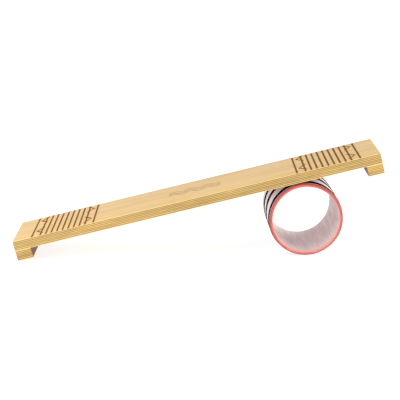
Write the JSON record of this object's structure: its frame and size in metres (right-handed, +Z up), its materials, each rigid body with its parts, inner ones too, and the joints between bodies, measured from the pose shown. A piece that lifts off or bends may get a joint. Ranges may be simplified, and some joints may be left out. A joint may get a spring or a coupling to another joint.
{
  "type": "roller balance board",
  "caption": "Seesaw for balance practice: a long plywood plank with a stop block under each end, lying across a loose open-ended tube roller.",
  "frame": {"origin": "on the floor, below the middle of the whole object as it stands at rest", "axes": "+X along the plank towards its raised end, +Y across the plank away from the viewer, +Z up"},
  "size_m": [0.6416, 0.1316, 0.1784],
  "materials": {
    "birch_plywood": "satin clear lacquer",
    "screw_steel": "zinc plated",
    "hard_paper": "matt",
    "liner_paper": "matt",
    "sleeve_paper": "satin",
    "red_trim": "satin",
    "black_rubber": "matt"
  },
  "bodies": {
    "standing_bands": {"front_grip_band": "black_rubber", "rear_grip_band": "black_rubber"},
    "rocking_band": {"middle_grip_band": "black_rubber"},
    "plank": {"plank": "birch_plywood", "left_stop_block": "birch_plywood", "right_stop_block": "birch_plywood", "left_stop_screw_front": "screw_steel", "left_stop_screw_rear": "screw_steel", "right_stop_screw_front": "screw_steel", "right_stop_screw_rear": "screw_steel"},
    "roller": {"roller_tube": "hard_paper", "inner_liner": "liner_paper", "outer_sleeve": "sleeve_paper", "front_rim_trim": "red_trim", "rear_rim_trim": "red_trim"}
  },
  "joints": [
    {"name": "plank_travel", "type": "slide", "parent": "rocking_band", "child": "plank", "axis": [0.9753, 0, 0.2207], "range_m": [0, 0.3495]},
    {"name": "plank_rock", "type": "hinge", "parent": "standing_bands", "child": "rocking_band", "pos_m": [0.18485, 0, 0.0643], "axis": [0, 1, 0], "range_deg": [0, 25.5]},
    {"name": "roller_spin", "type": "hinge", "parent": "standing_bands", "child": "roller", "pos_m": [0.18485, 0, 0.0643], "axis": [-0.0366, 0.9993, 0], "range_deg": [0, 332.8]}
  ],
  "couplings": [
    {"joint": "plank_rock", "follows": "plank_travel", "rad_per_m": 1.2734},
    {"joint": "roller_spin", "follows": "plank_travel", "rad_per_m": 16.619}
  ]
}
